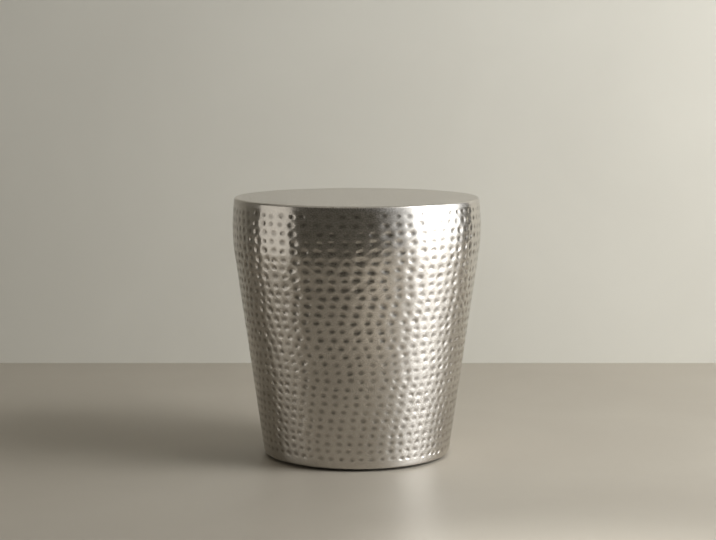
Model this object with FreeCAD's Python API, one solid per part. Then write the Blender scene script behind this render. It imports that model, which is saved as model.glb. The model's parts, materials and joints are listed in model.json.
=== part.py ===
import FreeCAD
import Part
import math
import os

# Drum side table: a tapered sheet-metal drum with a swelling shoulder and a flat welded top.
# Millimetres, +Z up, origin on the floor under the middle of the drum, front towards -Y.
# A section is drawn in the XZ plane, X being the distance from the drum's upright axis.

# Outline of the drum
table_height = 457.0         # floor to table top
widest_radius = 218.5        # outside of the shoulder at its widest
widest_below_top = 51.0      # depth of the widest level under the table top
shoulder_radius = 353.0      # arc of the shoulder, seen in section
foot_rim_radius = 164.5      # outside of the straight wall, carried down to the foot rim's level
rim_gap = 4.0                # daylight between the floor and the foot rim

# Sheet metal
shell_sheet = 1.6            # drum wall
top_sheet = 2.0              # top plate
top_edge_bend = 2.0          # inside radius of the top plate's turned-down edge
top_skirt = 9.0              # depth of the turned-down edge, down to the weld
rim_wire_radius = 2.5        # steel wire inside the rolled foot rim
wire_clearance = 0.3         # between the wire and the rolled sheet
curl_wrap_deg = 255.0        # how far the foot rim rolls round its wire

# Boards
core_board_thickness = 12.0  # stiffens the top plate from below
core_board_margin = 24.0     # kept clear of the heat of the weld all round
base_board_thickness = 12.0  # closes the drum from below
base_board_recess = 4.0      # underside of the base board above the foot rim
base_board_clearance = 1.5   # between the base board's edge and the rolled rim
board_chamfer = 1.0          # broken lower edge of both boards

# Tabs that carry the base board
tab_sheet = 2.0
tab_width = 26.0
tab_height = 30.0            # leg on the drum wall, measured upright from the base board
tab_reach = 16.0             # overlap of the flat leg on the base board
tab_bend = 2.0               # inside radius of the bend
tab_corner_radius = 5.0      # rounded corners of both legs
tab_weld_gap = 0.2           # between the tab and the drum wall
tab_places = ("right", "back", "left", "front")

# Screws and washers
screw_shank_radius = 1.9
screw_point = 4.0            # length of the tapered point
screw_bite_clearance = 0.1   # round the shank in a tapped or pilot hole
screw_free_clearance = 0.4   # round the shank and the head where they pass freely
countersunk_head_radius = 3.9
tab_screw_projection = 8.0   # screw past the tab
pan_head_radius = 3.6
pan_head_height = 2.4
pan_head_crown = 0.8         # sloping edge of the head
foot_screw_bite = 9.0        # foot screw in the base board
cross_width = 1.0            # arms of the cross recess
cross_length = 4.4
cross_depth = 1.4
washer_radius = 5.2
washer_thickness = 0.8

# Feet
foot_inset = 33.0            # middle of a foot from the base board's edge
foot_top_radius = 12.0       # against the base board
foot_floor_radius = 10.5     # on the floor, before its rounded edge
foot_edge_radius = 1.5
foot_head_recess = 0.8       # screw head above the floor
foot_recess_clearance = 0.4  # round the washer in the foot's recess
foot_places = ("back_right", "back_left", "front_left", "front_right")

ORIGIN = FreeCAD.Vector(0, 0, 0)
AXIS = FreeCAD.Vector(0, 0, 1)


def point(radius, z):
    """A point of a section, at that distance from the axis and that height."""
    return FreeCAD.Vector(radius, 0, z)


def polar(centre, radius, angle):
    """A point of a circle in the section plane, its angle in radians above the outward direction."""
    return centre + point(radius * math.cos(angle), radius * math.sin(angle))


def line(start, end):
    return Part.LineSegment(start, end).toShape()


def arc(centre, radius, start_angle, end_angle):
    """An arc of a section from one angle to the other, the way round that the two angles count."""
    middle_angle = (start_angle + end_angle) / 2
    return Part.Arc(
        polar(centre, radius, start_angle),
        polar(centre, radius, middle_angle),
        polar(centre, radius, end_angle),
    ).toShape()


def rounded_bend(start, corner, end, radius):
    """Two straight runs joined at a corner by a tangent arc."""
    back = (start - corner).normalize()
    onward = (end - corner).normalize()
    half_turn = back.getAngle(onward) / 2
    bisector = (back + onward).normalize()
    centre = corner + bisector * (radius / math.sin(half_turn))
    tangent = radius / math.tan(half_turn)
    leave = corner + back * tangent
    join = corner + onward * tangent
    bend = Part.Arc(leave, centre - bisector * radius, join).toShape()
    return [line(start, leave), bend, line(join, end)]


def sheet_section(outer_edges, sheet):
    """The section of a formed sheet: its outer line, run from top to bottom, thickened inwards."""
    return Part.Wire(outer_edges).makeOffset2D(-sheet, fill=True, openResult=True).Faces[0]


def polygon_section(corners):
    return Part.Face(Part.makePolygon(corners + corners[:1]))


def turned(section, angle=360.0):
    """A section turned about the drum's axis."""
    return section.revolve(ORIGIN, AXIS, angle)


def placed(solid, radius, angle):
    """A copy of a solid, moved out from the axis to that radius and round it by that many degrees."""
    copy = solid.copy()
    copy.translate(point(radius, 0))
    copy.rotate(ORIGIN, AXIS, angle)
    return copy


def ring_angles(places, first_step):
    """Equal turns in degrees, anticlockwise from above, the first that many steps from the right."""
    step = 360.0 / len(places)
    return {place: (first_step + index) * step for index, place in enumerate(places)}


def ring_of(solid, radius, angles):
    """Copies of a solid at each of the angles, kept together as one set."""
    return Part.makeCompound([placed(solid, radius, angle) for angle in angles.values()])


def round_board(radius, bottom, thickness):
    """A round board with its lower edge broken."""
    board = Part.makeCylinder(radius, thickness, point(0, bottom))
    lower_edge = [edge for edge in board.Edges if edge.BoundBox.ZMax < bottom + thickness / 2]
    return board.makeChamfer(board_chamfer, lower_edge)


# Outer line of the drum: the shoulder arc, and the straight wall that runs off it at a tangent
shoulder_centre = point(widest_radius - shoulder_radius, table_height - widest_below_top)
rim_corner = point(foot_rim_radius, rim_gap)
to_rim = rim_corner - shoulder_centre
wall_lean = -math.atan2(to_rim.z, to_rim.x) - math.acos(shoulder_radius / to_rim.Length)
seam_angle = math.asin((table_height - top_skirt - shoulder_centre.z) / shoulder_radius)

# Rolled foot rim: its circle touches the straight wall and the rim's lowest level from inside
curl_radius = rim_wire_radius + wire_clearance + shell_sheet
wall_to_curl = curl_radius * (1 - math.sin(wall_lean)) / math.cos(wall_lean)
curl_centre = point(
    foot_rim_radius + wall_to_curl * math.sin(wall_lean) - curl_radius * math.cos(wall_lean),
    rim_gap + curl_radius,
)

# Turned-down edge of the top: its small arc touches the flat top and the shoulder arc from inside
top_edge_radius = top_edge_bend + top_sheet
edge_rise = table_height - top_edge_radius - shoulder_centre.z
edge_run = math.sqrt((shoulder_radius - top_edge_radius) ** 2 - edge_rise ** 2)
edge_centre = shoulder_centre + point(edge_run, edge_rise)
edge_angle = math.atan2(edge_rise, edge_run)

# Levels and radii that the boards, tabs and feet share
base_board_bottom = rim_gap + base_board_recess
base_board_top = base_board_bottom + base_board_thickness
base_board_radius = curl_centre.x - curl_radius - base_board_clearance
tab_screw_circle = base_board_radius - tab_reach / 2
foot_circle = base_board_radius - foot_inset
foot_recess_depth = foot_head_recess + pan_head_height + washer_thickness
bite_radius = screw_shank_radius + screw_bite_clearance
free_radius = screw_shank_radius + screw_free_clearance
tab_angles = ring_angles(tab_places, 0)
foot_angles = ring_angles(foot_places, 1 / 2)


def wall_radius(z, depth):
    """Radius of the straight wall at a height, at that depth inside its outer face."""
    return foot_rim_radius + (z - rim_gap) * math.tan(wall_lean) - depth / math.cos(wall_lean)


def make_drum_shell():
    """One sheet: shoulder arc, straight taper, and the foot rim rolled inwards round its wire."""
    shoulder = arc(shoulder_centre, shoulder_radius, seam_angle, -wall_lean)
    curl = arc(curl_centre, curl_radius, -wall_lean, -wall_lean - math.radians(curl_wrap_deg))
    wall = line(
        polar(shoulder_centre, shoulder_radius, -wall_lean),
        polar(curl_centre, curl_radius, -wall_lean),
    )
    return turned(sheet_section([shoulder, wall, curl], shell_sheet))


def make_top_plate():
    """A flat plate whose edge turns down and carries on the shoulder arc to the weld."""
    flat = line(point(0, table_height), point(edge_centre.x, table_height))
    edge = arc(edge_centre, top_edge_radius, math.pi / 2, edge_angle)
    skirt = arc(shoulder_centre, shoulder_radius, edge_angle, seam_angle)
    return turned(sheet_section([flat, edge, skirt], top_sheet))


def make_rim_wire():
    return Part.makeTorus(curl_centre.x, rim_wire_radius, point(0, curl_centre.z), AXIS)


def make_core_board():
    bottom = table_height - top_sheet - core_board_thickness
    return round_board(edge_centre.x - core_board_margin, bottom, core_board_thickness)


def make_tab():
    """A bent tab: one leg lies along the leaning wall, the other reaches in flat over the base board."""
    depth = shell_sheet + tab_weld_gap
    leg_top = base_board_top + tab_height
    section = sheet_section(
        rounded_bend(
            point(wall_radius(leg_top, depth), leg_top),
            point(wall_radius(base_board_top, depth), base_board_top),
            point(base_board_radius - tab_reach, base_board_top),
            tab_bend + tab_sheet,
        ),
        tab_sheet,
    )
    span = math.degrees(tab_width / base_board_radius)
    section.rotate(ORIGIN, AXIS, -span / 2)
    tab = turned(section, span)
    corners = [edge for edge in tab.Edges if abs(edge.Length - tab_sheet) < tab_sheet / 100]
    tab = tab.makeFillet(tab_corner_radius, corners)
    return tab.cut(Part.makeCylinder(bite_radius, tab_sheet, point(tab_screw_circle, base_board_top)))


def cross_recess(bottom):
    """The recess that a cross-head driver fits, cut upwards from a level."""
    corner = FreeCAD.Vector(-cross_length / 2, -cross_width / 2, bottom)
    arm = Part.makeBox(cross_length, cross_width, cross_depth, corner)
    return arm.fuse(placed(arm, 0, 90))


def screw(head_outline, shank_bottom, tip):
    """A screw that points up: its head's outline from the axis, then the shank and a tapered point."""
    outline = head_outline + [
        point(screw_shank_radius, shank_bottom),
        point(screw_shank_radius, tip - screw_point),
        point(0, tip),
    ]
    return turned(polygon_section(outline)).cut(cross_recess(head_outline[0].z))


countersink_top = base_board_bottom + countersunk_head_radius - screw_shank_radius


def make_tab_screw():
    """A countersunk screw, flush with the base board's underside and biting in the tab."""
    head = [point(0, base_board_bottom), point(countersunk_head_radius, base_board_bottom)]
    return screw(head, countersink_top, base_board_top + tab_sheet + tab_screw_projection)


def make_foot_screw():
    """A pan-head screw in the foot's recess, biting in the base board."""
    head_top = foot_head_recess + pan_head_height
    head = [
        point(0, foot_head_recess),
        point(pan_head_radius - pan_head_crown, foot_head_recess),
        point(pan_head_radius, foot_head_recess + pan_head_crown),
        point(pan_head_radius, head_top),
    ]
    return screw(head, head_top, base_board_bottom + foot_screw_bite)


def make_foot_washer():
    bottom = point(0, foot_head_recess + pan_head_height)
    blank = Part.makeCylinder(washer_radius, washer_thickness, bottom)
    return blank.cut(Part.makeCylinder(free_radius, washer_thickness, bottom))


def make_foot():
    """A moulded foot: tapered, rounded at the floor, with a recess for the screw head and its washer."""
    recess_radius = washer_radius + foot_recess_clearance
    outside = rounded_bend(
        point(recess_radius, 0),
        point(foot_floor_radius, 0),
        point(foot_top_radius, base_board_bottom),
        foot_edge_radius,
    )
    inside = Part.makePolygon([
        point(foot_top_radius, base_board_bottom),
        point(free_radius, base_board_bottom),
        point(free_radius, foot_recess_depth),
        point(recess_radius, foot_recess_depth),
        point(recess_radius, 0),
    ])
    return turned(Part.Face(Part.Wire(outside + inside.Edges)))


def make_base_board():
    """A round board with countersunk holes for the tab screws and blind pilot holes for the foot screws."""
    tab_screw_hole = turned(polygon_section([
        point(0, base_board_bottom),
        point(countersunk_head_radius + screw_free_clearance, base_board_bottom),
        point(free_radius, countersink_top),
        point(free_radius, base_board_top),
        point(0, base_board_top),
    ]))
    pilot_depth = foot_screw_bite + screw_bite_clearance
    pilot_hole = Part.makeCylinder(bite_radius, pilot_depth, point(0, base_board_bottom))
    holes = [placed(tab_screw_hole, tab_screw_circle, angle) for angle in tab_angles.values()]
    holes += [placed(pilot_hole, foot_circle, angle) for angle in foot_angles.values()]
    return round_board(base_board_radius, base_board_bottom, base_board_thickness).cut(holes)


def make_all():
    """Every piece by its name, in the place that it has on the standing table."""
    pieces = {
        "drum_shell": make_drum_shell(),
        "top_plate": make_top_plate(),
        "core_board": make_core_board(),
        "rim_wire": make_rim_wire(),
        "base_board": make_base_board(),
        "base_board_screws": ring_of(make_tab_screw(), tab_screw_circle, tab_angles),
        "foot_screws": ring_of(make_foot_screw(), foot_circle, foot_angles),
        "foot_washers": ring_of(make_foot_washer(), foot_circle, foot_angles),
    }
    tab = make_tab()
    for place, angle in tab_angles.items():
        pieces[f"base_tab_{place}"] = placed(tab, 0, angle)
    foot = make_foot()
    for place, angle in foot_angles.items():
        pieces[f"foot_{place}"] = placed(foot, foot_circle, angle)
    return pieces


os.makedirs("parts", exist_ok=True)
for name, shape in make_all().items():
    shape.exportStep(f"parts/{name}.step")
    print(name, "solids:", len(shape.Solids), "mm3:", round(shape.Volume), "valid:", shape.isValid())
print("wall leans in degrees:", round(math.degrees(wall_lean), 2))
print("radius of base board and foot circle:", round(base_board_radius, 2), round(foot_circle, 2))
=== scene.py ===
# %% [markdown]
# # A hammered drum side table
# The table is a tapered metal drum with a swelling shoulder, a flat top and a rolled foot rim. The packed
# CAD model is loaded first and never moved: it gives every size and place, in metres. The lesson then
# makes the two pieces that the eye rests on, the hammered wall and the satin top, and gives a finish to
# each piece that the CAD model already has right, such as the base board, the feet and the screws.

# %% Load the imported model
import json
import math
import random

import bmesh
import bpy
from mathutils import Matrix, Vector
from mathutils.kdtree import KDTree


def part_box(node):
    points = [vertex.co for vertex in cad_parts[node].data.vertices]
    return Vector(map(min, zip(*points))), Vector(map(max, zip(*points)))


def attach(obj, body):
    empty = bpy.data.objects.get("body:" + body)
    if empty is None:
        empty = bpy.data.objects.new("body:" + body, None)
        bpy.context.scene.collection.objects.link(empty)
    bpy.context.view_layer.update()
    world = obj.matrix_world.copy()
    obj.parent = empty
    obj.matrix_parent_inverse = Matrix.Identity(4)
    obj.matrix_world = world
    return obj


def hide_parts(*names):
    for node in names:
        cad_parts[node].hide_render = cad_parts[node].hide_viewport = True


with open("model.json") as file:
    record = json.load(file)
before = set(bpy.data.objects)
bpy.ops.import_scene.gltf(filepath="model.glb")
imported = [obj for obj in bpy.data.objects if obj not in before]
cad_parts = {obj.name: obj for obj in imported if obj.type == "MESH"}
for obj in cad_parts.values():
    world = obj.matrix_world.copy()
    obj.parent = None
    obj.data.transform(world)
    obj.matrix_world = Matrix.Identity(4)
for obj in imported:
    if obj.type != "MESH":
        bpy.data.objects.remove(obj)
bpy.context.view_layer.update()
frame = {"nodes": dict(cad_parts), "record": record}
print("CAD nodes:", ", ".join(sorted(frame["nodes"])))

# %% [markdown]
# ## The drum's outline
# In section the wall is one arc, the shoulder, and one straight line that leaves the arc at a tangent and
# runs down to the foot rim. Reading the outline off the CAD mesh would bring its small flats along, and
# metal shows them at once in its reflections. So the outline is a formula: heights and the widest radius
# are measured on the frame, and three sizes that a box can't show are named here.

# %% Sizes of the outline
MM = 0.001
SHOULDER_RADIUS = 353 * MM
WIDEST_BELOW_TOP = 51 * MM
FOOT_RIM_RADIUS = 164.5 * MM

top_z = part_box("top_plate")[1].z
seam_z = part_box("drum_shell")[1].z
rim_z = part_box("drum_shell")[0].z
widest_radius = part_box("drum_shell")[1].x
widest_z = top_z - WIDEST_BELOW_TOP
shoulder_centre_r = widest_radius - SHOULDER_RADIUS

run = FOOT_RIM_RADIUS - shoulder_centre_r
drop = widest_z - rim_z
wall_lean = math.atan2(drop, run) - math.acos(SHOULDER_RADIUS / math.hypot(run, drop))
tangent_z = widest_z - SHOULDER_RADIUS * math.sin(wall_lean)
print(f"wall leans {math.degrees(wall_lean):.2f} degrees, shoulder ends at z {tangent_z:.4f}")


# %% Radius and slope of the wall at a height
def radius_at(z):
    """Outside radius of the drum at a height: the shoulder's arc, and the straight taper under it."""
    if z > tangent_z:
        return shoulder_centre_r + math.sqrt(SHOULDER_RADIUS ** 2 - (z - widest_z) ** 2)
    return FOOT_RIM_RADIUS + (z - rim_z) * math.tan(wall_lean)


def slope_at(z):
    """How far the wall's outward direction points up from level, in radians."""
    if z > tangent_z:
        return math.asin((z - widest_z) / SHOULDER_RADIUS)
    return -wall_lean


def wall_directions(place):
    """At a place on the wall: along the row, up the wall, and straight out of it."""
    outward = Vector((place.x, place.y, 0)).normalized()
    slope = slope_at(place.z)
    out = outward * math.cos(slope) + Vector((0, 0, math.sin(slope)))
    along = Vector((-outward.y, outward.x, 0))
    return along, out.cross(along), out


cad_wall = frame["nodes"]["drum_shell"].data.vertices
misfit = max(v.co.xy.length - radius_at(v.co.z) for v in cad_wall if v.co.z > tangent_z)
print(f"the CAD shoulder stands at most {misfit / MM:.3f} mm outside the formula")

# %% [markdown]
# ## The camera
# A product photograph like this one is taken with a long lens from a few metres away, so the drum's sides
# hardly converge. The top's ellipse and the silhouette fix the distance, the height and the tilt. A camera
# could be dragged about until it looks right, but numbers that were fitted once give the same view on
# every run.

# %% Camera
CAMERA_PLACE = Vector((0.0024, -3.189, 0.702))
CAMERA_TILT_DOWN = math.radians(6.71)
SENSOR_WIDTH = 36.0
LENS = 91.3

camera_data = bpy.data.cameras.new("camera")
camera_data.sensor_width = SENSOR_WIDTH
camera_data.lens = LENS
camera = bpy.data.objects.new("camera", camera_data)
camera.location = CAMERA_PLACE
camera.rotation_euler = (math.pi / 2 - CAMERA_TILT_DOWN, 0, 0)
bpy.context.scene.collection.objects.link(camera)
bpy.context.scene.camera = camera
print("camera stands", round(CAMERA_PLACE.length, 3), "m from the origin")

# %% [markdown]
# ## Small helpers for meshes and nodes
# Each new piece starts as an empty bmesh, is shaped by operators and ends as an object at the origin, with
# its place in its mesh, as the CAD nodes have it. Materials need many nodes, and a helper that adds one
# and fills in its values keeps each material short enough to read.


# %% Helpers
def finish_piece(mesh, name, material):
    """Turns a bmesh into an object of that name at the origin, smooth shaded, with one material."""
    data = bpy.data.meshes.new(name)
    for face in mesh.faces:
        face.smooth = True
    mesh.to_mesh(data)
    mesh.free()
    data.materials.append(material)
    piece = bpy.data.objects.new(name, data)
    bpy.context.scene.collection.objects.link(piece)
    print(f"{name}: {len(data.polygons)} faces")
    return piece


def add_node(tree, kind, values=None, **settings):
    """Adds a node, gives its input sockets their values and sets its own options."""
    node = tree.nodes.new(kind)
    for option, value in settings.items():
        setattr(node, option, value)
    for socket, value in (values or {}).items():
        node.inputs[socket].default_value = value
    return node


def start_material(name, **constants):
    """A new material with a Principled BSDF, whose constants are set on its own sockets."""
    material = bpy.data.materials.new(name)
    material.use_nodes = True
    shader = material.node_tree.nodes["Principled BSDF"]
    for socket, value in constants.items():
        shader.inputs[socket.replace("_", " ")].default_value = value
    return material, material.node_tree, shader


def colour(red, green, blue):
    """An opaque colour."""
    return (red, green, blue, 1.0)


# %% [markdown]
# ## Shared finishes as node groups
# Three effects come back in several materials. Grain is the fine uneven tooth of a satin or painted face.
# Smudges are the broad, soft patches that handling and cleaning leave. Specks are small separate spots,
# such as dust or fibres, and their cells make the spangle of zinc and the mixed polish of the drum. Each
# could be built again in every material, but a node group keeps one recipe and lets each material choose
# its own scale.


# %% Start of a node group
def start_group(name, inputs, outputs):
    """A shader node group with named float inputs and outputs, and Object coordinates ready to use."""
    group = bpy.data.node_groups.new(name, "ShaderNodeTree")
    for socket, value in inputs.items():
        made = group.interface.new_socket(socket, in_out="INPUT", socket_type="NodeSocketFloat")
        made.default_value = value
    for socket in outputs:
        group.interface.new_socket(socket, in_out="OUTPUT", socket_type="NodeSocketFloat")
    entry = group.nodes.new("NodeGroupInput")
    leave = group.nodes.new("NodeGroupOutput")
    place = group.nodes.new("ShaderNodeTexCoord").outputs["Object"]
    return group, entry, leave, place


# %% Grain
COARSE_SCALE_SHARE = 0.17
FINE_SHARE = 0.7


def make_grain_group():
    """Fine tooth: two sizes of noise added together."""
    group, entry, leave, place = start_group("grain", {"Scale": 900.0}, ["Tooth"])
    fine = add_node(group, "ShaderNodeTexNoise", {"Detail": 3.0, "Roughness": 0.6})
    coarse_scale = add_node(group, "ShaderNodeMath", {1: COARSE_SCALE_SHARE}, operation="MULTIPLY")
    coarse = add_node(group, "ShaderNodeTexNoise", {"Detail": 2.0})
    both = add_node(group, "ShaderNodeMath", {1: FINE_SHARE}, operation="MULTIPLY_ADD")
    group.links.new(place, fine.inputs["Vector"])
    group.links.new(place, coarse.inputs["Vector"])
    group.links.new(entry.outputs["Scale"], fine.inputs["Scale"])
    group.links.new(entry.outputs["Scale"], coarse_scale.inputs[0])
    group.links.new(coarse_scale.outputs[0], coarse.inputs["Scale"])
    group.links.new(fine.outputs["Fac"], both.inputs[0])
    group.links.new(coarse.outputs["Fac"], both.inputs[2])
    group.links.new(both.outputs[0], leave.inputs["Tooth"])
    return group


GRAIN = make_grain_group()
print("node group:", GRAIN.name)


# %% Smudges
def make_smudge_group():
    """Broad soft patches: warped noise with its middle stretched out."""
    group, entry, leave, place = start_group("smudges", {"Scale": 7.0}, ["Mask"])
    noise = add_node(group, "ShaderNodeTexNoise", {"Detail": 4.0, "Distortion": 0.6})
    spread = add_node(group, "ShaderNodeMapRange", {"From Min": 0.35, "From Max": 0.68})
    group.links.new(place, noise.inputs["Vector"])
    group.links.new(entry.outputs["Scale"], noise.inputs["Scale"])
    group.links.new(noise.outputs["Fac"], spread.inputs["Value"])
    group.links.new(spread.outputs["Result"], leave.inputs["Mask"])
    return group


SMUDGES = make_smudge_group()
print("node group:", SMUDGES.name)


# %% Specks
def make_speck_group():
    """Separate spots: the middles of some Voronoi cells."""
    group, entry, leave, place = start_group("specks", {"Scale": 300.0, "Share": 0.3}, ["Mask", "Cell"])
    cells = add_node(group, "ShaderNodeTexVoronoi")
    grey = add_node(group, "ShaderNodeSeparateColor")
    chosen = add_node(group, "ShaderNodeMath", operation="LESS_THAN")
    spot = add_node(group, "ShaderNodeMapRange", {"From Min": 0.45, "From Max": 0.2})
    both = add_node(group, "ShaderNodeMath", operation="MULTIPLY")
    group.links.new(place, cells.inputs["Vector"])
    group.links.new(entry.outputs["Scale"], cells.inputs["Scale"])
    group.links.new(cells.outputs["Color"], grey.inputs["Color"])
    group.links.new(grey.outputs["Red"], chosen.inputs[0])
    group.links.new(entry.outputs["Share"], chosen.inputs[1])
    group.links.new(cells.outputs["Distance"], spot.inputs["Value"])
    group.links.new(chosen.outputs[0], both.inputs[0])
    group.links.new(spot.outputs["Result"], both.inputs[1])
    group.links.new(both.outputs[0], leave.inputs["Mask"])
    group.links.new(grey.outputs["Green"], leave.inputs["Cell"])
    return group


SPECKS = make_speck_group()
print("node group:", SPECKS.name)


# %% Helpers that place a group and steer a socket with it
def place_group(tree, group, **values):
    """Puts a node group in a material with its own values."""
    node = tree.nodes.new("ShaderNodeGroup")
    node.node_tree = group
    for socket, value in values.items():
        node.inputs[socket].default_value = value
    return node


def mix_colours(tree, mask, first, second):
    """The colour that goes from first to second as the mask goes from 0 to 1. Either may be a socket."""
    mix = add_node(tree, "ShaderNodeMix", data_type="RGBA")
    tree.links.new(mask, mix.inputs["Factor"])
    for socket, value in ((mix.inputs[6], first), (mix.inputs[7], second)):
        if isinstance(value, bpy.types.NodeSocket):
            tree.links.new(value, socket)
        else:
            socket.default_value = value
    return mix.outputs[2]


def spread_value(tree, mask, low, high):
    """A number that goes from low to high as the mask goes from 0 to 1."""
    spread = add_node(tree, "ShaderNodeMapRange", {"To Min": low, "To Max": high})
    tree.links.new(mask, spread.inputs["Value"])
    return spread.outputs["Result"]


def add_bump(tree, shader, height, distance, strength):
    """Tilts the shader's normal by a height that changes over the surface; distance is in metres."""
    bump = add_node(tree, "ShaderNodeBump", {"Distance": distance, "Strength": strength})
    tree.links.new(height, bump.inputs["Height"])
    tree.links.new(bump.outputs["Normal"], shader.inputs["Normal"])


# %% [markdown]
# ## Floor and backdrop
# The drum is bright metal, so most of what the eye sees on it is its surroundings. A pale floor fills the
# lower wall with soft grey, and a pale backdrop behind the table is what the flat top mirrors. Both are
# plain planes in a slightly cloudy paint, and the floor has some sheen. They are clear from behind, so
# that they don't stand in the way when the table is looked at from the back or from below.

# %% Paints of the stage
CLOUD_SCALE = 2.2


def make_stage_material(name, pale, dim, **constants):
    """A cloudy paint that is clear from behind."""
    material, tree, shader = start_material(name, **constants)
    clouds = place_group(tree, SMUDGES, Scale=CLOUD_SCALE)
    tree.links.new(mix_colours(tree, clouds.outputs["Mask"], dim, pale), shader.inputs["Base Color"])
    facing = tree.nodes.new("ShaderNodeNewGeometry")
    clear = tree.nodes.new("ShaderNodeBsdfTransparent")
    choose = tree.nodes.new("ShaderNodeMixShader")
    tree.links.new(facing.outputs["Backfacing"], choose.inputs["Fac"])
    tree.links.new(shader.outputs["BSDF"], choose.inputs[1])
    tree.links.new(clear.outputs["BSDF"], choose.inputs[2])
    tree.links.new(choose.outputs["Shader"], tree.nodes["Material Output"].inputs["Surface"])
    return material


floor_paint = make_stage_material(
    "floor_paint",
    pale=colour(0.458, 0.409, 0.337),
    dim=colour(0.422, 0.373, 0.306),
    Roughness=0.46,
    Specular_IOR_Level=0.85,
)
backdrop_paint = make_stage_material(
    "backdrop_paint",
    pale=colour(0.636, 0.607, 0.536),
    dim=colour(0.61, 0.581, 0.512),
    Roughness=0.85,
)
print("stage paints:", floor_paint.name, backdrop_paint.name)

# %% [markdown]
# ## Two planes for one floor
# In the photograph the dark part of the shoulder ends in a line, as it does where a lit floor ends a little
# more than a metre in front of the table and the room beyond it is dim. A floor that stops there would
# show its edge from the back. So the near floor stops there, along a slightly turned edge, and a far
# floor, a hair lower, goes on for the camera but stays out of mirrors. The backdrop ends on the right,
# where the large light stands.

# %% Planes of the stage
FLOOR_SIZE = 12.0
FLOOR_IN_FRONT = 1.2
FLOOR_EDGE_TURN = math.radians(-20)
FLOOR_STEP = 1 * MM
BACKDROP_Y = 0.944
BACKDROP_LEFT = -6.0
BACKDROP_RIGHT = 1.45
BACKDROP_HEIGHT = 3.0


def lay_plane(name, width, depth, turn, middle, paint):
    """A flat sheet of that size, turned about the origin and then moved to its middle."""
    mesh = bmesh.new()
    bmesh.ops.create_grid(mesh, x_segments=1, y_segments=1, size=0.5)
    bmesh.ops.scale(mesh, vec=(width, depth, 1), verts=mesh.verts[:])
    bmesh.ops.rotate(mesh, cent=(0, 0, 0), matrix=turn, verts=mesh.verts[:])
    bmesh.ops.translate(mesh, vec=middle, verts=mesh.verts[:])
    return finish_piece(mesh, name, paint)


floor_turn = Matrix.Rotation(FLOOR_EDGE_TURN, 3, "Z")
floor_middle = floor_turn @ Vector((0, FLOOR_SIZE / 2 - FLOOR_IN_FRONT, 0))
floor = lay_plane("floor", FLOOR_SIZE, FLOOR_SIZE, floor_turn, floor_middle, floor_paint)

far_middle = (0, 0, -FLOOR_STEP)
far_floor = lay_plane("far_floor", FLOOR_SIZE, FLOOR_SIZE, Matrix.Identity(3), far_middle, floor_paint)
far_floor.visible_glossy = False

backdrop_width = BACKDROP_RIGHT - BACKDROP_LEFT
backdrop_middle = ((BACKDROP_LEFT + BACKDROP_RIGHT) / 2, BACKDROP_Y, BACKDROP_HEIGHT / 2)
upright = Matrix.Rotation(math.pi / 2, 3, "X")
backdrop = lay_plane(
    "backdrop", backdrop_width, BACKDROP_HEIGHT, upright, backdrop_middle, backdrop_paint
)

# %% [markdown]
# ## Light
# What the metal mirrors shows where each light stands and how large it is. The photograph has one large
# soft light on the right, which lies as a bright band on the wall. Here it is two wide panels side by
# side, which fade out towards their sides, and a weaker halo that softens the flanks of the band. A high
# panel on the same side casts the shadow to the left. A pale card low on the left makes the patch on the
# shoulder there, and a small pool of light lies on the floor in front. A sky texture would light the
# drum evenly and flatten it, so each source is an area light of its real size.


# %% Helpers for area lights
def soften_edges(data, shares):
    """Lets an area light fade out towards its edges, over a share of its width and one of its height."""
    data.use_nodes = True
    tree = data.node_tree
    across = tree.nodes.new("ShaderNodeNewGeometry").outputs["Parametric"]
    sides = tree.nodes.new("ShaderNodeSeparateXYZ")
    both = add_node(tree, "ShaderNodeMath", operation="MULTIPLY")
    tree.links.new(across, sides.inputs["Vector"])
    # Parametric runs from 0 to 1 across the light, so ping-pong at a half counts from the nearer edge.
    for index, (side, share) in enumerate(zip("XY", shares)):
        inward = add_node(tree, "ShaderNodeMath", {1: 0.5}, operation="PINGPONG")
        fade = add_node(tree, "ShaderNodeMapRange", {"From Max": share})
        tree.links.new(sides.outputs[side], inward.inputs[0])
        tree.links.new(inward.outputs[0], fade.inputs["Value"])
        tree.links.new(fade.outputs["Result"], both.inputs[index])
    steeper = add_node(tree, "ShaderNodeMath", {1: 2.0}, operation="POWER")
    tree.links.new(both.outputs[0], steeper.inputs[0])
    tree.links.new(steeper.outputs[0], tree.nodes["Emission"].inputs["Strength"])


def add_panel(name, place, aim, width, height, radiance, tint, fade=None):
    """An area light of that size at a place, aimed at a point, as bright as a lit card of that radiance."""
    data = bpy.data.lights.new(name, "AREA")
    data.color = tint
    data.shape = "RECTANGLE"
    data.size = width
    data.size_y = height
    data.energy = radiance * math.pi * width * height
    panel = bpy.data.objects.new(name, data)
    panel.location = place
    panel.rotation_euler = (Vector(aim) - Vector(place)).to_track_quat("-Z", "Y").to_euler()
    panel.visible_camera = False
    if fade:
        soften_edges(data, fade)
    bpy.context.scene.collection.objects.link(panel)
    print(f"{name}: {width} by {height} m, {data.energy:.1f} W")
    return panel


# %% Area lights
DAYLIGHT = (0.97, 1.0, 1.02)
PALE = (1.0, 0.97, 0.90)
POOL_SPREAD = math.radians(18)

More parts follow.
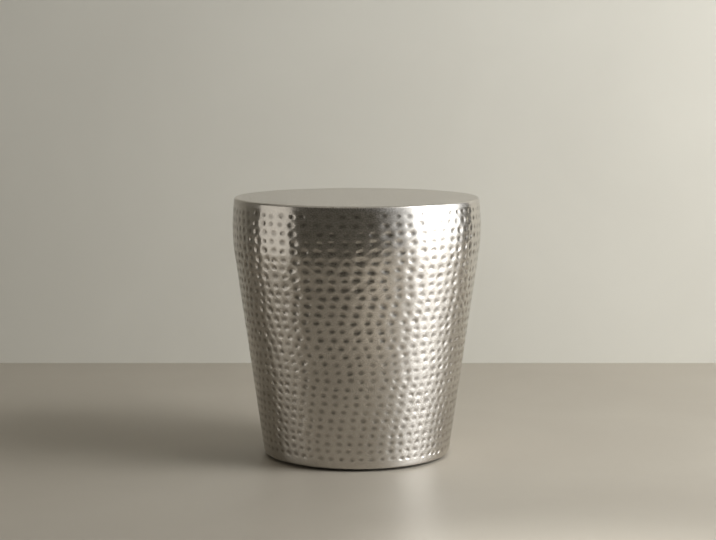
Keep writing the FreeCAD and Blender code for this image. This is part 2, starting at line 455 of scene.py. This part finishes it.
add_panel(
    "key_core", place=(3.1, -1.13, 1.5), aim=(0, 0, 1.5),
    width=2.8, height=2.96, radiance=4.1, tint=DAYLIGHT, fade=(0.27, 0.02),
)
add_panel(
    "key_panel", place=(3.3, -0.15, 1.5), aim=(0, 0, 1.5),
    width=3.2, height=2.96, radiance=2.5, tint=DAYLIGHT, fade=(0.25, 0.02),
)
add_panel(
    "key_halo", place=(1.879, -0.684, 1.2), aim=(0, 0, 1.2),
    width=5.7, height=2.36, radiance=1.45, tint=DAYLIGHT, fade=(0.45, 0.02),
)
add_panel(
    "high_panel", place=(2.255, -0.821, 2.4), aim=(0, 0, 0.1),
    width=2.0, height=1.4, radiance=10.0, tint=DAYLIGHT, fade=(0.3, 0.3),
)
add_panel(
    "left_card", place=(-1.455, -0.363, 0.4), aim=(0, 0, 0.4),
    width=0.97, height=0.76, radiance=0.87, tint=PALE,
)
pool = add_panel(
    "floor_pool", place=(0.3, -0.85, 1.0), aim=(0.3, -0.85, 0),
    width=1.0, height=0.9, radiance=0.85, tint=DAYLIGHT, fade=(0.35, 0.3),
)
pool.data.spread = POOL_SPREAD

# %% [markdown]
# ## The room
# Past the stage and the lights the drum mirrors a dim room, and that is what makes the middle of the
# shoulder dark. One even world would be simplest, but it would leave the background of other views and
# the flat top seen from above just as dark. So the world is dim round the horizon, and pale for the
# camera, in mirrors that look well up, and under the floor.

# %% World
DIM_ROOM = colour(0.061, 0.057, 0.046)
PALE_ROOM = colour(0.40, 0.385, 0.34)
LOOKING_UP = {"From Min": 0.3, "From Max": 0.7}
LOOKING_DOWN = {"From Min": -0.3, "From Max": -0.6}


def make_world():
    """Dim round the horizon, and pale for the camera, in mirrors that look up, and under the floor."""
    world = bpy.data.worlds.new("room")
    world.use_nodes = True
    tree = world.node_tree
    ray = tree.nodes.new("ShaderNodeLightPath")
    height = tree.nodes.new("ShaderNodeSeparateXYZ")
    above = add_node(tree, "ShaderNodeMapRange", LOOKING_UP)
    below = add_node(tree, "ShaderNodeMapRange", LOOKING_DOWN)
    mirrored = add_node(tree, "ShaderNodeMath", operation="MULTIPLY")
    tree.links.new(tree.nodes.new("ShaderNodeTexCoord").outputs["Generated"], height.inputs["Vector"])
    tree.links.new(height.outputs["Z"], above.inputs["Value"])
    tree.links.new(height.outputs["Z"], below.inputs["Value"])
    tree.links.new(above.outputs["Result"], mirrored.inputs[0])
    tree.links.new(ray.outputs["Is Glossy Ray"], mirrored.inputs[1])
    room = DIM_ROOM
    for mask in (mirrored.outputs[0], below.outputs["Result"], ray.outputs["Is Camera Ray"]):
        room = mix_colours(tree, mask, room, PALE_ROOM)
    tree.links.new(room, tree.nodes["Background"].inputs["Color"])
    return world


bpy.context.scene.world = make_world()
bpy.context.scene.view_settings.view_transform = "Standard"
print("world:", bpy.context.scene.world.name)

# %% [markdown]
# ## The hammered wall
# A smith strikes the sheet row by row with a round-nosed punch. Each blow leaves a shallow pit, and the
# metal between the pits stays smooth. The blows keep to rows, but no two are quite in step. A bump
# texture would give the shading without the shape, and cutting two thousand spheres out of the wall would
# take minutes. Here the wall is a net of rings with one corner for each blow. A vertex bevel opens
# every corner into a small face, an inset and a push make it a pit, and one subdivision rounds it.

# %% Rows of blows
DENTS_PER_ROW = 68
ROW_PITCH = 15.0 * MM
ROW_PITCH_LOSS = 0.4
FIRST_ROW_BELOW_TOP = 17.4 * MM
LAST_ROW_ABOVE_RIM = 16.0 * MM


def shrink_at(z):
    """The sheet narrows towards the foot, and the pits draw together with it."""
    return radius_at(z) / widest_radius


row_heights = []
row_z = top_z - FIRST_ROW_BELOW_TOP
while row_z > rim_z + LAST_ROW_ABOVE_RIM:
    row_heights.append(row_z)
    row_z -= ROW_PITCH * (1 - ROW_PITCH_LOSS * (1 - shrink_at(row_z)))
print(f"{len(row_heights)} rows, {len(row_heights) * DENTS_PER_ROW} blows")

# %% [markdown]
# ## The net of the wall
# One ring is drawn at the seam under the top and extruded downwards, row after row. Subdivision pulls a
# ring inwards a little, so plain rings are drawn that much too large. The columns stand a little further
# apart in front and behind than at the sides. Each row is turned by a small random step from the row
# above, and then every corner slides a little on the wall, which gives the drifting columns that hand
# work has. One random generator with a fixed seed makes every draw, so each run gives the same wall.


# %% Ring helpers
def edges_among(parts):
    """The edges in a list of mesh parts whose two ends are also in it."""
    verts = {part for part in parts if isinstance(part, bmesh.types.BMVert)}
    edges = [part for part in parts if isinstance(part, bmesh.types.BMEdge)]
    return [edge for edge in edges if verts.issuperset(edge.verts)]


def ring_verts(ring):
    """The corners of a ring of edges, each once."""
    return list({vert: None for edge in ring for vert in edge.verts})


def extrude_ring(mesh, ring, radius, z, turn=0.0):
    """Extrudes a ring of edges to another radius and height, turned about the drum's axis."""
    parts = bmesh.ops.extrude_edge_only(mesh, edges=ring)["geom"]
    new_ring = edges_among(parts)
    verts = ring_verts(new_ring)
    start = verts[0].co.copy()
    stretch = radius / start.xy.length
    bmesh.ops.scale(mesh, vec=(stretch, stretch, 1), verts=verts)
    bmesh.ops.translate(mesh, vec=(0, 0, z - start.z), verts=verts)
    bmesh.ops.rotate(mesh, cent=(0, 0, 0), matrix=Matrix.Rotation(turn, 3, "Z"), verts=verts)
    return new_ring


def ring_growth(segments):
    """How much larger a ring of that many corners is drawn, so that subdivision leaves it in place."""
    return 3 / (2 + math.cos(2 * math.pi / segments))


growth = ring_growth(DENTS_PER_ROW)
print(f"plain rings of {DENTS_PER_ROW} corners are drawn {growth:.5f} times as large")

# %% Draw the net
HAMMER_SEED = 11
ROW_TURN = 0.28
FRONT_SPREAD = 0.15
BAND_ABOVE_RIM = 12.0 * MM

rng = random.Random(HAMMER_SEED)
column_angle = 2 * math.pi / DENTS_PER_ROW

wall_mesh = bmesh.new()
# The pit layer carries how strongly each pit is darkened in colour as painted shade.
pit_shade_mark = wall_mesh.verts.layers.float.new("pit")
crease = wall_mesh.edges.layers.float.new("crease_edge")
bmesh.ops.create_circle(wall_mesh, segments=DENTS_PER_ROW, radius=radius_at(seam_z) * growth)
bmesh.ops.translate(wall_mesh, vec=(0, 0, seam_z), verts=wall_mesh.verts[:])
for corner in wall_mesh.verts:
    angle = math.atan2(corner.co.y, corner.co.x)
    corner.co.rotate(Matrix.Rotation(-FRONT_SPREAD / 2 * math.sin(2 * angle), 3, "Z"))
seam_ring = wall_mesh.edges[:]

ring = seam_ring
blows = []
for row_z in row_heights:
    turn = rng.uniform(-ROW_TURN, ROW_TURN) * column_angle
    ring = extrude_ring(wall_mesh, ring, radius_at(row_z), row_z, turn)
    blows += ring_verts(ring)
band_z = rim_z + BAND_ABOVE_RIM
band_ring = extrude_ring(wall_mesh, ring, radius_at(band_z) * growth, band_z)
print(f"net: {len(wall_mesh.faces)} faces from the seam to {BAND_ABOVE_RIM / MM:.0f} mm above the rim")

# %% Let the corners drift
SLIP_ALONG = 2.4 * MM
SLIP_UP = 1.2 * MM
ROW_WAVE = 2.2 * MM


def slide_on_wall(vert, along, up):
    """Moves a corner over the wall, and keeps it on the outline."""
    angle = math.atan2(vert.co.y, vert.co.x) + along / vert.co.xy.length
    z = vert.co.z + up
    vert.co = Vector((math.cos(angle) * radius_at(z), math.sin(angle) * radius_at(z), z))


def share_down(z):
    """0 at the first row, 1 at the last."""
    return (row_heights[0] - z) / (row_heights[0] - row_heights[-1])


def row_wave(place):
    """Rows are not quite level: near the top they rise to the right, and near the foot they fall."""
    return ROW_WAVE * place.xy.normalized().x * math.cos(math.pi * share_down(place.z))


for blow in blows:
    shrink = shrink_at(blow.co.z)
    slip = rng.uniform(-SLIP_UP, SLIP_UP) * shrink
    slide_on_wall(blow, rng.uniform(-SLIP_ALONG, SLIP_ALONG) * shrink, slip + row_wave(blow.co))
bmesh.ops.triangulate(wall_mesh, faces=wall_mesh.faces[:], quad_method="SHORT_EDGE")
print(f"net: {len(wall_mesh.faces)} triangles, {len(blows)} corners to strike")

# %% [markdown]
# ## Strike the pits
# The vertex bevel leaves a face with five to seven corners at each blow. Its corners are set evenly on an
# oval that lies on the wall, a little wider than high, because a lopsided polygon would subdivide into a
# lopsided pit. An oval grows no further than its neighbours leave it room. Each oval stands a trace in or
# out of the wall, so that the ridges between the pits are uneven too. Then an inset and a push inwards
# make the pit. Depth and the painted shade in each pit differ from blow to blow, and the deepest point is
# a little off the middle, as when the punch was not held quite square.

# %% Open the corners
OPENING = 4.0 * MM

dents = bmesh.ops.bevel(
    wall_mesh,
    geom=blows,
    offset=OPENING,
    offset_type="OFFSET",
    affect="VERTICES",
    segments=1,
    profile=0.5,
    material=-1,
    clamp_overlap=True,
)["faces"]
print(f"{len(dents)} corners opened")

# %% Set each opening on an oval
DENT_RADIUS = 9.4 * MM
DENT_STRETCH = 1.25
RADIUS_SPREAD = 0.14
RIM_PLAY = 0.15 * MM
NEIGHBOURS = 7
ROOM_SHARE = 0.5
SEAM_SHARE = 0.8


def stretch_at(place):
    """How much wider than high a pit is: more in front and behind, where columns stand further apart."""
    outward = place.xy.normalized()
    return DENT_STRETCH * (1 + FRONT_SPREAD * (outward.y ** 2 - outward.x ** 2))


def round_off(face, radius):
    """Sets a face's corners evenly round its middle, on an oval that is wider than high."""
    middle = face.calc_center_median()
    along, up, out = wall_directions(middle)
    stretch = stretch_at(middle)
    play = out * rng.uniform(-RIM_PLAY, RIM_PLAY)
    step = 2 * math.pi / len(face.verts)
    arms = [vert.co - middle for vert in face.verts]
    angles = [math.atan2(arm.dot(up), arm.dot(along)) for arm in arms]
    way = 1 if arms[0].cross(arms[1]).dot(along.cross(up)) > 0 else -1
    turns = [way * i * step for i in range(len(arms))]
    drifts = [Vector((math.cos(a - turn), math.sin(a - turn))) for a, turn in zip(angles, turns)]
    drift = sum(drifts, Vector((0, 0)))
    start = math.atan2(drift.y, drift.x)
    for vert, turn in zip(face.verts, turns):
        angle = start + turn
        vert.co = middle + (along * math.cos(angle) + up * math.sin(angle) / stretch) * radius
        slide_on_wall(vert, 0, 0)
        vert.co += play


middles = KDTree(len(dents))
for index, dent in enumerate(dents):
    middles.insert(dent.calc_center_median(), index)
middles.balance()


def room_round(middle):
    """Distance to the nearest other pit, as the ovals measure it: heights count for more."""
    along, up, _ = wall_directions(middle)
    stretch = stretch_at(middle)
    others = middles.find_n(middle, NEIGHBOURS)[1:]
    arms = [place - middle for place, _, _ in others]
    return min(math.hypot(arm.dot(along), arm.dot(up) * stretch) for arm in arms)


oval_radii = []
for dent in dents:
    middle = dent.calc_center_median()
    size = DENT_RADIUS * shrink_at(middle.z) * (1 + rng.uniform(-RADIUS_SPREAD, RADIUS_SPREAD))
    seam_room = SEAM_SHARE * DENT_STRETCH * (seam_z - middle.z)
    oval_radii.append(min(size, ROOM_SHARE * room_round(middle), seam_room))
    round_off(dent, oval_radii[-1])
print(f"ovals reach {min(oval_radii) / MM:.1f} to {max(oval_radii) / MM:.1f} mm from their middles")

# %% Press the pits in
DRAW_TO_MIDDLE = 0.6
DENT_DEPTH = 1.3 * MM
DEPTH_SPREAD = 0.35
FIRST_ROW_DEPTH = 0.6
FULL_DEPTH_AT = 0.2
OFF_MIDDLE = 0.5 * MM
# Painted shade: the darkening of each pit's colour varies this much from blow to blow.
PIT_SHADE_SPREAD = 0.3

bmesh.ops.inset_individual(wall_mesh, faces=dents, thickness=0, use_even_offset=True)
for dent in dents:
    middle = dent.calc_center_median()
    along, up, out = wall_directions(middle)
    shrink = shrink_at(middle.z)
    blow_force = min(1, FIRST_ROW_DEPTH + (1 - FIRST_ROW_DEPTH) * share_down(middle.z) / FULL_DEPTH_AT)
    depth = DENT_DEPTH * shrink * blow_force * (1 + rng.uniform(-DEPTH_SPREAD, DEPTH_SPREAD))
    aside = along * rng.uniform(-OFF_MIDDLE, OFF_MIDDLE) + up * rng.uniform(-OFF_MIDDLE, OFF_MIDDLE)
    # How strongly this pit's colour is darkened as painted shade.
    polish = 1 + rng.uniform(-PIT_SHADE_SPREAD, PIT_SHADE_SPREAD)
    for vert in dent.verts:
        vert.co = vert.co.lerp(middle, DRAW_TO_MIDDLE) + aside * shrink - out * depth
        vert[pit_shade_mark] = polish
print(f"{len(dents)} pits, {len(wall_mesh.faces)} faces before subdivision")

# %% [markdown]
# ## Roll the foot rim and close the sheet
# The foot of the drum is rolled inwards round a steel wire, which hides the raw edge and keeps it round.
# The same ring goes on down the wall, round the roll, back on the inside of the sheet and up to the
# seam, where a bridge joins it to the first ring. So the wall is one closed skin with the sheet's real
# thickness, and not an open surface. The seam's edges are creased, so that subdivision leaves them sharp
# against the top.

# %% Rolled rim and inside of the wall
WIRE_CLEARANCE = 0.3 * MM
SHEET = 1.6 * MM
CURL_WRAP = math.radians(255)
CURL_STEPS = 9
INNER_CURL_STEPS = 4
INSIDE_STEPS = 3

wire_low, wire_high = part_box("rim_wire")
wire_radius = (wire_high.z - wire_low.z) / 2
curl_r = wire_high.x - wire_radius
curl_z = wire_low.z + wire_radius
curl_radius = wire_radius + WIRE_CLEARANCE + SHEET


def roll(mesh, ring, radius, first_angle, last_angle, steps):
    """Extrudes a ring round the rim's wire, from one angle of the section to the other."""
    for step in range(steps + 1):
        angle = first_angle + (last_angle - first_angle) * step / steps
        ring_r = (curl_r + radius * math.cos(angle)) * growth
        ring = extrude_ring(mesh, ring, ring_r, curl_z + radius * math.sin(angle))
    return ring


ring = roll(wall_mesh, band_ring, curl_radius, -wall_lean, -wall_lean - CURL_WRAP, CURL_STEPS)
ring = roll(wall_mesh, ring, curl_radius - SHEET, -wall_lean - CURL_WRAP, -wall_lean, INNER_CURL_STEPS)
for step in range(1, INSIDE_STEPS + 1):
    inside_z = band_z + (seam_z - band_z) * step / INSIDE_STEPS
    slope = slope_at(inside_z)
    inside_r = radius_at(inside_z) - SHEET * math.cos(slope)
    ring = extrude_ring(wall_mesh, ring, inside_r * growth, inside_z - SHEET * math.sin(slope))
bmesh.ops.bridge_loops(wall_mesh, edges=seam_ring + ring)
bmesh.ops.recalc_face_normals(wall_mesh, faces=wall_mesh.faces[:])

for edge in seam_ring:
    edge[crease] = 1.0
    edge.smooth = False
open_edges = [edge for edge in wall_mesh.edges if len(edge.link_faces) != 2]
print(f"rolled rim of radius {curl_radius / MM:.2f} mm, {len(open_edges)} open edges")

# %% [markdown]
# ## Hammered metal
# The wall has a warm grey nickel finish, and its reflections do most of the work. Hand polishing leaves
# bright and dull specks that are too small to see one by one, and together they give each reflection a
# sharp core with a haze round it. One even roughness gives only one or the other, so the roughness comes
# from fine cells. The polishing also runs round the drum, and its scratches spread the haze up and down
# more than sideways: that is the shader's anisotropy, with its tangent laid round the axis. Smudges
# change the tone a little, the pits are painted darker as shade, and a fine grain breaks up the rest.

# %% Fine mixed polish
BURNISH_SCALE = 2400.0
BURNISH_BRIGHT = 0.08
BURNISH_DULL = 0.41
GRAIN_DEPTH = 0.02 * MM


def burnish(tree, shader):
    """Steers the roughness by cells too small to see, each with its own polish from bright to dull."""
    cells = place_group(tree, SPECKS, Scale=BURNISH_SCALE)
    polish = spread_value(tree, cells.outputs["Cell"], BURNISH_BRIGHT, BURNISH_DULL)
    tree.links.new(polish, shader.inputs["Roughness"])


print(f"polish cells are about {1 / BURNISH_SCALE / MM:.2f} mm wide")

# %% Hammered metal material
NICKEL = colour(0.59, 0.555, 0.513)
HANDLED_NICKEL = colour(0.52, 0.487, 0.448)
# Painted shade: each pit's colour is mixed towards this dark tone to stand in for the shade in its hollow.
PIT_PAINTED_SHADE = colour(0.12, 0.108, 0.092)
PIT_SHADE_SHARE = 0.45


def make_hammered_metal():
    """Nickel brushed round the drum, with its pits darkened in colour as painted shade."""
    material, tree, shader = start_material(
        "hammered_nickel", Metallic=1.0, Anisotropic=0.8, Anisotropic_Rotation=0.25
    )
    grain = place_group(tree, GRAIN, Scale=1400.0)
    smudges = place_group(tree, SMUDGES, Scale=9.0)
    pit = add_node(tree, "ShaderNodeAttribute", attribute_name="pit")
    # Painted shade: the pit mark, times this share, darkens each pit's colour.
    held = add_node(tree, "ShaderNodeMath", {1: PIT_SHADE_SHARE}, operation="MULTIPLY")
    tree.links.new(pit.outputs["Fac"], held.inputs[0])
    clean = mix_colours(tree, smudges.outputs["Mask"], NICKEL, HANDLED_NICKEL)
    tree.links.new(mix_colours(tree, held.outputs[0], clean, PIT_PAINTED_SHADE), shader.inputs["Base Color"])
    burnish(tree, shader)
    around = add_node(tree, "ShaderNodeVectorMath", {0: (0, 0, 1)}, operation="CROSS_PRODUCT")
    tree.links.new(tree.nodes.new("ShaderNodeTexCoord").outputs["Object"], around.inputs[1])
    tree.links.new(around.outputs["Vector"], shader.inputs["Tangent"])
    add_bump(tree, shader, grain.outputs["Tooth"], GRAIN_DEPTH, 0.35)
    return material


hammered_wall = finish_piece(wall_mesh, "hammered_wall", make_hammered_metal())
rounding = hammered_wall.modifiers.new("rounding", "SUBSURF")
rounding.levels = 1
rounding.render_levels = 1
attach(hammered_wall, "root")
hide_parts("drum_shell")

# %% [markdown]
# ## The satin top
# The top is a flat disc whose edge turns down in a small radius and meets the wall at a weld that is
# ground flush. It could be a spun section, but the same ring helper that made the wall draws it from
# the middle out. Its rings have twice the wall's columns, so that its edge is round without subdivision.

# %% Draw the top
TOP_SHEET = 2.0 * MM
EDGE_RADIUS = 4.0 * MM
EDGE_STEPS = 8
SKIRT_STEPS = 3
HOLD_IN = 0.6 * MM
MIDDLE_RADIUS = 60 * MM

edge_rise = top_z - EDGE_RADIUS - widest_z
edge_run = math.sqrt((SHOULDER_RADIUS - EDGE_RADIUS) ** 2 - edge_rise ** 2)
edge_r = shoulder_centre_r + edge_run
edge_z = widest_z + edge_rise
edge_slope = math.atan2(edge_rise, edge_run)


def skirt_ring(mesh, ring, z, inward):
    """Extrudes a ring to a height on the shoulder's arc, at that depth in the sheet."""
    slope = slope_at(z)
    return extrude_ring(mesh, ring, radius_at(z) - inward * math.cos(slope), z - inward * math.sin(slope))


top_mesh = bmesh.new()
bmesh.ops.create_circle(
    top_mesh, cap_ends=True, cap_tris=True, segments=2 * DENTS_PER_ROW, radius=MIDDLE_RADIUS
)
bmesh.ops.translate(top_mesh, vec=(0, 0, top_z), verts=top_mesh.verts[:])
ring = [edge for edge in top_mesh.edges if edge.is_boundary]
ring = extrude_ring(top_mesh, ring, edge_r - HOLD_IN, top_z)
for step in range(EDGE_STEPS + 1):
    angle = math.pi / 2 + (edge_slope - math.pi / 2) * step / EDGE_STEPS
    ring = extrude_ring(
        top_mesh, ring, edge_r + EDGE_RADIUS * math.cos(angle), edge_z + EDGE_RADIUS * math.sin(angle)
    )
skirt_top = edge_z + EDGE_RADIUS * math.sin(edge_slope)
for step in range(1, SKIRT_STEPS + 1):
    ring = skirt_ring(top_mesh, ring, skirt_top + (seam_z - skirt_top) * step / SKIRT_STEPS, 0)
weld_ring = ring
ring = skirt_ring(top_mesh, ring, seam_z, TOP_SHEET)
ring = skirt_ring(top_mesh, ring, skirt_top, TOP_SHEET)
ring = extrude_ring(top_mesh, ring, edge_r - HOLD_IN, top_z - TOP_SHEET)
bmesh.ops.edgeloop_fill(top_mesh, edges=ring)
bmesh.ops.recalc_face_normals(top_mesh, faces=top_mesh.faces[:])
for edge in weld_ring:
    edge.smooth = False
print(f"flat of the top is {2 * edge_r / MM:.1f} mm across")

# %% [markdown]
# ## Satin metal
# The top is the same nickel without the hammer work. It could share the wall's material, but it has no
# pits painted dark as shade and was polished to and fro, so its haze is as wide as it is high. It keeps the
# fine mixed polish, and its smudges are broader and fainter, because a tray or a cloth passes over all of
# it.


# %% Satin metal material
def make_satin_metal():
    """Nickel polished flat, with faint broad smudges."""
    material, tree, shader = start_material("satin_nickel", Metallic=1.0)
    grain = place_group(tree, GRAIN, Scale=1100.0)
    smudges = place_group(tree, SMUDGES, Scale=6.0)
    tone = mix_colours(
        tree, smudges.outputs["Mask"], colour(0.57, 0.535, 0.495), colour(0.54, 0.505, 0.465)
    )
    tree.links.new(tone, shader.inputs["Base Color"])
    burnish(tree, shader)
    add_bump(tree, shader, grain.outputs["Tooth"], GRAIN_DEPTH, 0.4)
    return material


satin_top = finish_piece(top_mesh, "satin_top", make_satin_metal())
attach(satin_top, "root")
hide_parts("top_plate")

# %% [markdown]
# ## Boards, tabs, screws and feet
# These pieces have their real shape in the CAD model already, so they stay, and only their finish is made
# here. Each could be one flat colour, because little of them shows, but a part that is looked at from
# below needs surfaces that hold up close. The base board is fibreboard with matt black paint, which dries
# a little greyer on standing fibres, so smudges and specks vary its tone.


# %% Black paint of the base board
def make_black_board():
    """Matt black paint over fibreboard: a soft tooth, and fibres that dry a little greyer."""
    material, tree, shader = start_material("black_board_paint")
    grain = place_group(tree, GRAIN, Scale=700.0)
    smudges = place_group(tree, SMUDGES, Scale=14.0)
    specks = place_group(tree, SPECKS, Scale=420.0, Share=0.12)
    worn = mix_colours(
        tree, smudges.outputs["Mask"], colour(0.018, 0.018, 0.018), colour(0.035, 0.033, 0.031)
    )
    dusty = mix_colours(tree, specks.outputs["Mask"], worn, colour(0.07, 0.065, 0.06))
    tree.links.new(dusty, shader.inputs["Base Color"])
    tree.links.new(spread_value(tree, smudges.outputs["Mask"], 0.55, 0.75), shader.inputs["Roughness"])
    add_bump(tree, shader, grain.outputs["Tooth"], 0.08 * MM, 0.6)
    return material


black_board = make_black_board()
print("finish:", black_board.name)

# %% [markdown]
# ## Bare fibreboard
# The core board is glued under the top, out of sight, so nobody paints it. Pressed fibres show as fine
# flecks in two browns. A wood texture would give it rings and a grain direction, which fibreboard lacks,
# so the shared grain mixes the browns and the specks lay paler fibres over them.


# %% Fibreboard of the core
def make_fibreboard():
    """Bare fibreboard: pressed fibres in two browns."""
    material, tree, shader = start_material("bare_fibreboard", Roughness=0.85)
    grain = place_group(tree, GRAIN, Scale=520.0)
    specks = place_group(tree, SPECKS, Scale=600.0, Share=0.35)
    base = mix_colours(tree, grain.outputs["Tooth"], colour(0.36, 0.25, 0.15), colour(0.52, 0.39, 0.26))
    fibres = mix_colours(tree, specks.outputs["Mask"], base, colour(0.62, 0.49, 0.34))
    tree.links.new(fibres, shader.inputs["Base Color"])
    add_bump(tree, shader, grain.outputs["Tooth"], 0.1 * MM, 0.7)
    return material


fibreboard = make_fibreboard()
print("finish:", fibreboard.name)

# %% [markdown]
# ## Plain steel
# The tabs and the rim's wire are hidden inside the drum and keep the skin that the rolling mill left on
# them, a dull grey with darker patches. One mask steers both tone and roughness, because the dark skin is
# also the rougher one.


# %% Steel of the tabs and the wire
def make_mild_steel():
    """Plain sheet steel: dull grey with patches of mill skin."""
    material, tree, shader = start_material("plain_steel", Metallic=1.0)
    grain = place_group(tree, GRAIN, Scale=900.0)
    smudges = place_group(tree, SMUDGES, Scale=60.0)
    tone = mix_colours(
        tree, smudges.outputs["Mask"], colour(0.44, 0.44, 0.44), colour(0.30, 0.295, 0.29)
    )
    tree.links.new(tone, shader.inputs["Base Color"])
    tree.links.new(spread_value(tree, smudges.outputs["Mask"], 0.35, 0.5), shader.inputs["Roughness"])
    add_bump(tree, shader, grain.outputs["Tooth"], 0.04 * MM, 0.5)
    return material


mild_steel = make_mild_steel()
print("finish:", mild_steel.name)

# %% [markdown]
# ## Zinc plate
# Screws and washers are bright zinc, which sets in small crystals that each reflect a little differently.
# The value of each speck's cell gives that spangle without any drawn outline.


# %% Zinc of the screws and washers
def make_zinc():
    """Zinc plate: bright grey with a faint spangle."""
    material, tree, shader = start_material("zinc_plate", Metallic=1.0)
    specks = place_group(tree, SPECKS, Scale=900.0, Share=0.4)
    grain = place_group(tree, GRAIN, Scale=1600.0)
    tone = mix_colours(tree, specks.outputs["Cell"], colour(0.60, 0.61, 0.63), colour(0.70, 0.71, 0.72))
    tree.links.new(tone, shader.inputs["Base Color"])
    tree.links.new(spread_value(tree, specks.outputs["Cell"], 0.26, 0.4), shader.inputs["Roughness"])
    add_bump(tree, shader, grain.outputs["Tooth"], GRAIN_DEPTH, 0.4)
    return material


zinc = make_zinc()
print("finish:", zinc.name)

# %% [markdown]
# ## Moulded rubber
# The feet take their fine tooth from the mould and pick up dust from the floor. Black alone would look
# like a hole under the table, so two near blacks and a few paler specks give it a surface.


# %% Rubber of the feet
def make_rubber():
    """Moulded rubber: near black, with a fine tooth and a little dust."""
    material, tree, shader = start_material("foot_rubber")
    grain = place_group(tree, GRAIN, Scale=1500.0)
    smudges = place_group(tree, SMUDGES, Scale=45.0)
    specks = place_group(tree, SPECKS, Scale=1100.0, Share=0.15)
    tone = mix_colours(
        tree, smudges.outputs["Mask"], colour(0.022, 0.022, 0.022), colour(0.04, 0.039, 0.037)
    )
    dusty = mix_colours(tree, specks.outputs["Mask"], tone, colour(0.085, 0.08, 0.075))
    tree.links.new(dusty, shader.inputs["Base Color"])
    tree.links.new(spread_value(tree, grain.outputs["Tooth"], 0.6, 0.8), shader.inputs["Roughness"])
    add_bump(tree, shader, grain.outputs["Tooth"], 0.05 * MM, 0.5)
    return material


rubber = make_rubber()
print("finish:", rubber.name)

# %% [markdown]
# ## Hand out the finishes
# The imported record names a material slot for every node. The finishes could be assigned node by node, but
# a table from slot to finish follows the record, and the nodes that the two new pieces replace get theirs
# as well.

# %% Give each CAD node the finish of its slot
FINISHES = {
    "hammered_metal": hammered_wall.data.materials[0],
    "satin_metal": satin_top.data.materials[0],
    "fibreboard": fibreboard,
    "mild_steel": mild_steel,
    "black_board": black_board,
    "zinc_hardware": zinc,
    "foot_rubber": rubber,
}
for part in frame["record"]["subparts"]:
    node_data = frame["nodes"][part["node"]].data
    node_data.materials.clear()
    node_data.materials.append(FINISHES[part["material_slot"]])
